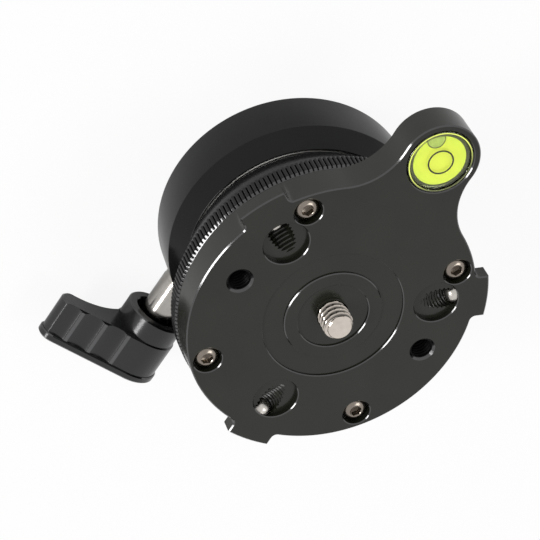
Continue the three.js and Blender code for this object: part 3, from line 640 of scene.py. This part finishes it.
def plate_rows():
    """The plate from below: the bare rim, then the same outline with its tabs let out."""
    full = apart(rim_outline())
    bare, under = [], []
    for point, back in zip(full, inset(full, plate_chamfer)):
        reach = Vector(point).length
        on_tab = reach > plate_round + 0.001 and point[0] < ear_reach - ear_fillet - 1.5
        rim = tuple(Vector(point) * plate_round / reach) if on_tab else point
        bare.append(rim)
        under.append(back if on_tab and reach > plate_round + 0.4 else rim)
    return [
        (inset(bare, plate_chamfer), plate_low),
        (bare, plate_low + plate_chamfer),
        (bare, tab_low),
        (under, tab_low),
        (full, tab_low + plate_chamfer),
        (full, plate_top - plate_chamfer),
        (inset(full, plate_chamfer), plate_top),
    ]


def at(circle, heading):
    """A place on the head plate, by its distance from the middle and its heading."""
    return on_head @ Matrix.Translation((*[c * mm for c in polar(circle, heading)], 0))


def bored(radius, bottom, chamfer, top=plate_top):
    """Outline of a flat-bottomed hole from the top face, with its edge broken."""
    wide, above = radius + chamfer, top + 1
    wall = [(0, bottom), (radius, bottom), (radius, top - chamfer)]
    return wall + [(wide, top), (wide, above), (0, above)]


def threads(crest, root, pitch, bottom, top):
    """Outline of a tapped hole: a row of V grooves."""
    points, height = [(0, bottom), (crest, bottom)], bottom
    while height + pitch < top:
        groove = ((crest, 0.15), (root, 0.5), (crest, 0.85))
        points += [(radius, height + pitch * share) for radius, share in groove]
        height += pitch
    return points + [(crest, top), (0, top)]


slope = math.radians(29)
rise, run = math.sin(slope), math.cos(slope)
slanted_hole = Matrix.Translation((tab_round * mm, 0, -0.3 * mm)) @ Matrix(
    ((rise, 0, -run, 0), (0, 1, 0, 0), (run, 0, rise, 0), (0, 0, 0, 1))
)


def in_tab(heading):
    """The frame of one slanted hole: its Z runs inwards and upwards from below the tab."""
    return on_head @ Matrix.Rotation(math.radians(heading), 4, "Z") @ slanted_hole


screw_headings, screw_circle = (45, 135, 225, 315), 26.3
head_plate = stacked("plate", plate_rows(), on_head)
broken, dish_floor = 0.18, plate_top - 0.45
dish = [(10.2, dish_floor), (14.6, dish_floor), (14.6, plate_top - broken), (14.78, plate_top)]
dish += [(14.78, 7), (10.0, 7), (10.0, plate_top), (10.2, plate_top - 0.2)]
head_tools = [
    turned("dish", dish, on_head, 192),
    turned("boss_bore", bored(7.35, dish_floor, broken), on_head, 128),
    turned("stud_hole", band(0, 3.27, -2, 7), on_head, 48),
    turned("stud_seat", band(0, 7.1, -2, 1.1), on_head, 64),
    turned("level_seat", bored(6.85, 0.0, 0.2), at(ear_reach, 0), 128),
]
for heading in screw_headings:
    head_tools.append(turned("pocket", bored(2.9, 3.7, broken), at(screw_circle, heading), 64))
    head_tools.append(turned("through", band(0, 1.55, -2, 4), at(screw_circle, heading), 32))
tapped_headings, tapped_circle, tapped_root = (90, 270), 22.8, 2.5
for heading in tapped_headings:
    mouth = [(0, 5.2), (2.35, 5.5), (2.75, 6), (2.75, 7), (0, 7)]
    thread = threads(2.15, tapped_root, 0.8, -2.0, 5.7)
    head_tools.append(turned("tapped", thread, at(tapped_circle, heading), 64))
    head_tools.append(turned("mouth", mouth, at(tapped_circle, heading), 64))
for heading in tab_headings:
    spot_face = bored(4.65, plate_top - 1.25, broken)
    head_tools.append(turned("spot_face", spot_face, at(21.6, heading), 128))
    head_tools.append(turned("slant", threads(2.12, 2.5, 0.8, -2.7, 16.0), in_tab(heading), 64))
machined(head_plate, head_tools)
tapped_spots = [Vector(polar(tapped_circle, heading)) for heading in tapped_headings]


def plate_corner(face):
    """Which finish a face wears: 0 blasted, 1 a broken edge, 2 darker as painted shade deep in a
    tapped hole.
    """
    height, spot = face.center.z / mm, face.center.xy / mm
    if min((spot - middle).length for middle in tapped_spots) < tapped_root + 0.1:
        return 2 if height < plate_top - 0.45 else 1
    under_tab = tab_low < height < tab_low + plate_chamfer
    on_edge = height > plate_top - 0.6 or height < plate_low + 0.35 or under_tab
    return slanted(face) and on_edge and face.area < 6 * mm * mm


plate_black = anodised("plate_anodised", (0.0115, 0.012, 0.0088), 0.2, 0.02, 1.4)
# Deep in the tapped holes the plate is painted darker, as shade.
tapped_shade = anodised("tapped_hole_shade", (0.004, 0.004, 0.004), 0.3, 0.0, 1.12)
plate_finishes = [plate_black, edge, tapped_shade]
finished(head_plate, "head", "black_anodised", plate_finishes, "head_plate", corner=plate_corner)

# Plate screws. Four button-head screws of bright steel with a hexagonal socket, sunk below the face
# of the plate, that pull it down on the ball's rim.
screw_steel = steel("screw_steel", (0.24, 0.21, 0.18), 0.2)
dome_top = 5.46
button = [(0, -4.7), (1.42, -4.7), (1.42, 3.82), (2.5, 3.82), (2.6, 3.92), (2.6, 4.35)]
button += [(2.56, 4.52), (2.45, 4.74), (2.22, 5.02), (1.9, 5.25), (1.62, 5.38), (1.45, dome_top)]
button += [(0, dome_top)]
for number, heading in enumerate(screw_headings, 1):
    place = at(screw_circle, heading) @ Matrix.Rotation(math.radians(17 * number - 8), 4, "Z")
    screw = turned(f"button_screw_{number}", button, place, 64)
    lead = turned("lead", bored(1.14, dome_top - 0.12, 0.1, dome_top), place, 48)
    machined(screw, [hexagon(2.2, 4.1, 6.4, place), lead])
    finished(screw, "head", "bright_steel", [screw_steel], f"plate_screw_{number}")

# Set screws. Three short steel screws come in under the tabs, driven from outside by a hexagon key.
# Their blunt points stand in the spot faces and rise against what is mounted.
point = [(0, 7.6), (2.0, 7.6), (2.1, 8.1), (1.5, 8.75), (1.3, 9.05), (0.95, 9.25)]
point += [(0.5, 9.36), (0, 9.4)]
for number, heading in enumerate(tab_headings, 1):
    place = in_tab(heading)
    screw_rod = (2.28, 0.36, 0.8, 3.12, 8.1, 0.3, 0.3)
    screw = threaded(f"slant_screw_{number}", screw_rod, place, 64)
    machined(screw, [turned("blunt_point", point, place, 64)], "UNION")
    machined(screw, [hexagon(2.4, 5.0, 2.5, place)])
    finished(screw, f"set_{number}", "bright_steel", [bright_steel], f"set_screw_{number}")

# Camera stud. A 1/4 inch steel screw with twenty threads to the inch, put in from below so that its
# head pulls against the plate. The end is faced flat with a chamfer that runs into the thread.
stud_rod = (3.1, 0.62, inch / 20, 0.4, 10.25, 0.8, 0.75)
stud = threaded("stud", stud_rod, on_head, 96)
stud_head = eased(band(0, 7.0, -1.15, 1.0), 0.15)
machined(stud, [turned("stud_head", stud_head, on_head, 96)], "UNION")
stud_steel = steel("stud_steel", (0.66, 0.6, 0.535), 0.16, 0.1, (2.7, 3.08, 9.55))
finished(stud, "head", "bright_steel", [stud_steel], "camera_stud")

# Bubble level. A clear moulded cup of acrylic holds yellow-green fluid and a bubble of air under a
# thin crowned lens, which has one black circle printed on it. The cup is pressed into the ear.


def clear_finish(name, tone, roughness):
    finish, place = new_finish(name)
    flow = place.noise(3.0, 2.0)
    place.surface(
        {
            "Base Color": flow.over(0.3, 0.7).tint([c * 0.96 for c in tone], tone),
            "Roughness": flow * 0.03 + roughness,
            "Transmission Weight": 1.0,
            "IOR": 1.49,
        }
    )
    return finish


def glowing_fluid_finish():
    """Dyed spirit over a pale cup floor: brighter in the middle and greener towards the wall, with
    a painted glow that is brightest in the middle.
    """
    finish, place = new_finish("level_fluid")
    radius, wall = place.from_axis(), 5.4
    swirl = place.noise(3.5, 2.0)
    outwards = radius.over(2.0, wall) * 0.7 + swirl * 0.3
    place.surface(
        {
            "Base Color": outwards.tint((0.92, 0.92, 0.17), (0.8, 0.88, 0.15)),
            "Roughness": swirl * 0.1 + 0.12,
            # Painted light: the fluid glows, brighter in the middle, though it is no lamp.
            "Emission Color": radius.over(3.0, wall).tint((0.9, 0.92, 0.14), (0.78, 0.86, 0.12)),
            "Emission Strength": 0.3,
            "IOR": 1.36,
        }
    )
    return finish


clear = clear_finish("clear_acrylic", (0.9, 0.97, 0.55), 0.02)
fluid_dye_and_glow = glowing_fluid_finish()
level_place = at(ear_reach, 0)
cup_bore, cup_ledge = 5.42, 4.94
cup_skin = [(0, 0.1), (6.74, 0.1), (6.74, 5.9), (6.2, 5.9), (6.2, cup_ledge)]
cup_outline = eased(cup_skin + [(cup_bore, cup_ledge), (cup_bore, 1.3), (0, 1.3)], 0.12)
cup = turned("level_cup_clear", cup_outline, level_place, 128)
finished(cup, "head", "clear_plastic", [clear], "level_cup")
fluid = turned("level_spirit", band(0, 5.36, 1.36, 4.93), level_place, 128)
finished(fluid, "head", "green_fluid", [fluid_dye_and_glow], "level_fluid")
lens_outline = [(0, 5.02), (6.1, 5.02), (6.14, 5.1), (6.14, 5.6), (5.95, 5.75), (4.5, 5.84)]
lens_outline += [(2.5, 5.89), (0, 5.9)]
lens = turned("level_window", lens_outline, level_place, 128)
finished(lens, "head", "clear_plastic", [clear], "level_lens")


def paint_finish(name, tone):
    finish, place = new_finish(name)
    film = place.noise(0.3, 2.0)
    ink = film.tint(tone, [c * 2 for c in tone])
    place.surface({"Base Color": ink, "Roughness": film * 0.2 + 0.35})
    return finish


def lit_rim_finish():
    """The cup's rim, painted as if the dye lit it from inside: a painted glow, brighter on its far
    side than the near.
    """
    finish, place = new_finish("lit_rim")
    turn = math.radians(60)
    far = place.axis_part(0) * math.cos(turn) + place.axis_part(1) * math.sin(turn)
    lit = far.over(-4.5, 1.5)
    place.surface(
        {
            "Base Color": lit.tint((0.16, 0.18, 0.06), (0.8, 0.9, 0.16)),
            "Roughness": place.noise(0.8, 2.0) * 0.1 + 0.12,
            "Emission Color": lit.tint((0.02, 0.02, 0.01), (0.5, 0.56, 0.08)),
            "Emission Strength": 0.35,
        }
    )
    return finish


black_print_and_shade = paint_finish("black_print", (0.003, 0.004, 0.002))
gasket_dark = paint_finish("dark_gasket", (0.012, 0.016, 0.007))
mark = turned("level_circle", band(2.36, 2.66, 5.84, 5.93), level_place, 96)
finished(mark, "head", "green_fluid", [black_print_and_shade])
gasket = turned("level_gasket", band(5.44, 6.1, 4.96, 5.0), level_place, 128)
finished(gasket, "head", "green_fluid", [gasket_dark])
rim_light = turned("level_rim", band(6.3, 6.52, 5.88, 5.94), level_place, 128)
finished(rim_light, "head", "green_fluid", [lit_rim_finish()])


def air_finish():
    """The bubble: the same light seen through air, greyer than the fluid round it."""
    finish, place = new_finish("air_bubble")
    sheen = place.noise(1.1, 2.0)
    place.surface(
        {
            "Base Color": sheen.over(0.35, 0.65).tint((0.62, 0.74, 0.36), (0.76, 0.85, 0.5)),
            "Roughness": sheen * 0.1 + 0.08,
            "IOR": 1.3,
        }
    )
    return finish


bubble_at = level_place @ Matrix.Translation((*[c * mm for c in polar(4.9, 43)], 0))
fluid_room = band(0, 5.34, 4.0, 5.1)
bubble_outline = [(0, 4.935), (1.6, 4.935), (1.7, 4.95), (1.64, 4.975), (0, 4.985)]
bubble = turned("level_bubble", bubble_outline, bubble_at, 64)
machined(bubble, [turned("room", fluid_room, level_place, 128)], "INTERSECT")
finished(bubble, "head", "green_fluid", [air_finish()])
# The bubble's dark edge is painted shade: a thin ring in the black print finish.
rim_outline = [(1.7, 4.94), (1.88, 4.94), (1.86, 4.98), (1.72, 4.985)]
rim_line = turned("level_bubble_rim", rim_outline, bubble_at, 64)
machined(rim_line, [turned("room", fluid_room, level_place, 128)], "INTERSECT")
finished(rim_line, "head", "green_fluid", [black_print_and_shade])

# Clamp shaft, sleeve, screw and spring. A ground steel shaft is threaded through the bowl's wall;
# a splined sleeve is pressed on its end, and a socket screw holds the lever on against a spring.
shaft_steel = steel("ground_steel", (0.4, 0.38, 0.355), 0.17, 0.06)
tip = [(0, 14.2), (1.5, 14.2), (3.3, 15.4), (3.3, 21), (3.42, 21.15), (3.42, 31.5), (3.3, 31.65)]
shaft = turned("shaft", tip + [(3.0, 31.7), (3.0, 36), (0, 36)], along_shaft, 96)
machined(shaft, [turned("tapped_end", [(0, 30), (2.5, 30.6), (2.5, 37), (0, 37)], along_shaft, 48)])
finished(shaft, "shaft", "bright_steel", [shaft_steel], "clamp_shaft")


def toothed(radius, depth, teeth):
    """Outline of a spline in the flat: square-shouldered teeth."""
    points = []
    for tooth in range(teeth):
        for share, cut in ((0.06, 0), (0.44, 0), (0.58, depth), (0.92, depth)):
            points.append(polar(radius - cut, 360 * (tooth + share) / teeth))
    return points


sleeve = slab("sleeve", toothed(4.3, 0.4, 20), 31.8, 35.8, (0.12, 0.12), along_shaft)
machined(sleeve, [turned("sleeve_bore", band(0, 3.1, 31, 37), along_shaft, 64)])
finished(sleeve, "shaft", "dark_steel", [dark_steel], "shaft_spline")
cap_screw = [(0, 30.8), (2.3, 30.8), (2.3, 41.2), (4.6, 41.2), (4.6, 43.15), (0, 43.15)]
lever_screw = turned("end_screw", eased(cap_screw, 0.18), along_shaft, 64)
machined(lever_screw, [hexagon(3.5, 41.9, 45, along_shaft)])
finished(lever_screw, "shaft", "bright_steel", [bright_steel], "lever_screw")


def wound(name, radius, wire, bottom, top, turns, place):
    """A coil spring about its own Z, closed at both ends of its wire."""
    around, per_turn, points, faces = 10, 36, [], []
    steps = per_turn * turns
    for i in range(steps + 1):
        a = 2 * math.pi * i / per_turn
        middle = bottom + wire / 2 + (top - bottom - wire) * i / steps
        for k in range(around):
            b = 2 * math.pi * k / around
            reach, height = radius + wire / 2 * math.cos(b), middle + wire / 2 * math.sin(b)
            points.append((reach * math.cos(a), reach * math.sin(a), height))
    for i in range(steps):
        for k in range(around):
            a, b = i * around + k, i * around + (k + 1) % around
            faces.append((a, b, b + around, a + around))
    faces += [tuple(range(around)), tuple(range(steps * around, (steps + 1) * around))]
    return piece_from(name, points, faces, place)


spring = wound("end_spring", 3.8, 0.5, 37.2, 41.1, 2, along_shaft)
finished(spring, "shaft", "bright_steel", [bright_steel], "lever_spring")

# Clamp lever. Cast and milled aluminium: a round hub with a stepped neck, and an arm with finger
# scallops along its upper edge and a thin flange down its outer side. Blasted and anodised.
hub_round, tip_reach, tip_rise, tip_round, flange_at, lever_end = 7.3, 18.2, 1.0, 2.9, 42.0, 43.6
arm_back, first_scallop, scallop_pitch = 0.35, 8.0, 5.35
hollow_heading, edge_lean, edge_level = 212, 0.191, 7.07


def arm_slope(hub, tip):
    """How much the upper edge leans, as a line that touches the hub's and the tip's circles."""
    apart_by = math.hypot(tip_reach, tip_rise)
    return math.asin((hub - tip) / apart_by) - math.atan2(tip_rise, tip_reach)


def lever_outline(back):
    """Seen along the shaft, moved in by that length: hub, straight upper edge, tip, hollow edge."""
    hub, tip = hub_round - back, tip_round - back
    leave = 90 + math.degrees(arm_slope(hub, tip))
    points = arc((0, 0), hub, hollow_heading - 360, leave, 3)
    points += arc((-tip_reach, tip_rise), tip, leave, 270, 8)
    pulls = (-13.5, back - 0.6), (-9.3, back - 1.7)
    ends = [Vector(end) for end in (points[-1], *pulls, polar(hub, hollow_heading))]
    for k in range(1, 24):
        t = k / 24
        weights = ((1 - t) ** 3, 3 * t * (1 - t) ** 2, 3 * t**2 * (1 - t), t**3)
        points.append(tuple(sum((e * w for e, w in zip(ends, weights)), Vector((0, 0)))))
    return apart(points)


def ridge_highlights(place):
    """The flats left between the scallops, marked for a painted highlight that makes them paler."""
    along, across, out = (place.axis_part(axis) for axis in range(3))
    first_ridge = first_scallop - scallop_pitch / 2
    count = (0 - along - first_ridge) / scallop_pitch + 0.5
    off = count.maths("FRACT", count) - 0.5
    flat = 1 - off.maths("ABSOLUTE", off).over(0.055, 0.085)
    on_top = (across - along * edge_lean - edge_level).over(-0.14, -0.06)
    off_flange = out.over(flange_at, flange_at - 0.05)
    return flat * on_top * off_flange * along.over(-4.0, -4.2)


def scallop(reach, radius=5.6, depth=0.5):
    """A round cutter that hollows the arm's upper edge at that reach."""
    hub = hub_round - arm_back
    lean = arm_slope(hub, tip_round - arm_back)
    level = (hub - reach * math.sin(lean)) / math.cos(lean)
    lift = radius - depth
    spot = (-reach - lift * math.sin(lean), level + lift * math.cos(lean), 0)
    place = along_shaft @ Matrix.Translation([c * mm for c in spot])
    return turned("scallop", band(0, radius, 33, flange_at), place, 128)


lever = slab("lever", lever_outline(arm_back), 34.0, 42.3, (0.35, 0.2), along_shaft)
machined(lever, [scallop(first_scallop + scallop_pitch * k) for k in range(3)])
flange = slab("flange", lever_outline(0.0), flange_at, lever_end, (0.25, 0.35), along_shaft)
neck_outline = [(0, 29.6), (6.35, 29.6), (6.65, 29.9), (6.65, 34.6), (0, 34.6)]
machined(lever, [flange, turned("neck", neck_outline, along_shaft, 128)], "UNION")
shaft_pocket = [(0, 28), (4.85, 28), (4.85, 29.6), (4.6, 29.85), (4.6, 33.5), (0, 33.5)]
lever_tools = [
    turned("end_pocket", bored(5.2, 37.1, 0.2, lever_end), along_shaft, 96),
    turned("clearance", band(0, 2.7, 29, 44), along_shaft, 48),
    turned("shaft_pocket", shaft_pocket, along_shaft, 96),
    slab("spline_bore", toothed(4.45, 0.4, 20), 33.4, 36.2, (0, 0), along_shaft),
]
machined(lever, lever_tools)


def lever_corner(face):
    return slanted(face) and face.area < 1.5 * mm * mm


# The lever's ridges get a painted highlight: a paler tone on the flats between the scallops.
lever_black = anodised("lever_anodised", (0.0135, 0.0135, 0.014), 0.22, 0.0, 1.44, ridge_highlights)
finished(lever, "lever", "black_cast", [lever_black, edge], "clamp_lever", corner=lever_corner)

# Floor, light and camera. The object stands on white paper under two soft lamps, seen from above
# by a camera that is rolled nearly upside down, as it was photographed.
right = Vector((-0.540976, 0.808807, 0.2306))
down = Vector((0.756875, 0.348629, 0.552809))
ahead = Vector((0.366722, 0.473592, -0.800766))
camera_place = Matrix.Translation(Vector((-166.12856, -227.22207, 393.33841)) * mm)
camera = bpy.data.cameras.new("camera")
camera.lens, camera.sensor_width, camera.clip_start = 152.995, 36.0, 0.05
camera_object = bpy.data.objects.new("camera", camera)
camera_object.matrix_world = camera_place @ Matrix((right, -down, -ahead)).transposed().to_4x4()
bpy.context.scene.collection.objects.link(camera_object)
bpy.context.scene.camera = camera_object


def stage_light(name, offset, run, width, length, power):
    """A soft box, placed by how far it is to the camera's right, up and back from the object, with
    its long side along the run."""
    lamp = bpy.data.lights.new(name, "AREA")
    lamp.shape, lamp.size, lamp.size_y, lamp.energy = "RECTANGLE", width, length, power
    holder = bpy.data.objects.new(name, lamp)
    middle = Vector((0, 0, 0.02))
    reach, along = (right * v[0] - down * v[1] - ahead * v[2] for v in (offset, run))
    facing = reach.normalized()
    across = along.cross(facing).normalized()
    turn = Matrix((across, facing.cross(across), facing)).transposed().to_4x4()
    holder.matrix_world = Matrix.Translation(middle + reach) @ turn
    bpy.context.scene.collection.objects.link(holder)


stage_light("key", (-0.62, -0.3, 0.7), (0.2, 0.66, 0.86), 0.2, 0.44, 5.2)
stage_light("fill", (0.55, -0.35, 0.5), (0, 1, 0), 0.3, 0.4, 1.8)

floor_mesh = bpy.data.meshes.new("floor")
side, floor_low = 6.0, -0.05 * mm
floor_corners = [(x * side, y * side, floor_low) for x, y in ((-1, -1), (1, -1), (1, 1), (-1, 1))]
floor_mesh.from_pydata(floor_corners, [], [(0, 1, 2, 3)])
floor = bpy.data.objects.new("floor", floor_mesh)
bpy.context.scene.collection.objects.link(floor)
floor_finish, floor_place = new_finish("floor_paper")
paper = floor_place.noise(2.0, 2.0).tint((0.86, 0.86, 0.86), (0.88, 0.88, 0.88))
paper_sockets = {"Base Color": paper, "Roughness": 0.9, "Specular IOR Level": 0.1}
paper_shader = floor_place.add("ShaderNodeBsdfPrincipled", {}, paper_sockets)
glow = floor_place.add("ShaderNodeEmission", {}, {"Color": (1, 1, 1, 1), "Strength": 1.0})


def rays(tree, metal=1.0):
    """How much a ray should see of the white behind: all of it for the camera and through glass,
    and the given share of it in metal."""
    start = Wire(tree, None)
    camera_ray, glossy_ray, glass_ray = (
        start.add("ShaderNodeLightPath", {}, {}, f"Is {kind} Ray")
        for kind in ("Camera", "Glossy", "Transmission")
    )
    return camera_ray.most((glossy_ray * metal).most(glass_ray))


white_share = rays(floor_finish.node_tree, 0.2) * 0.9
blend = floor_place.add("ShaderNodeMixShader", {}, {0: white_share, 1: paper_shader, 2: glow})
floor_place.add("ShaderNodeOutputMaterial", {}, {"Surface": blend})
floor_mesh.materials.append(floor_finish)

world = bpy.data.worlds.new("studio")
bpy.context.scene.world = world
world.use_nodes = True
world.node_tree.nodes.clear()
sky = rays(world.node_tree) * 0.5 + 0.5
background = sky.add("ShaderNodeBackground", {}, {"Color": (1, 1, 1, 1), "Strength": sky})
background.add("ShaderNodeOutputWorld", {}, {"Surface": background})
bpy.context.scene.view_settings.view_transform = "Standard"
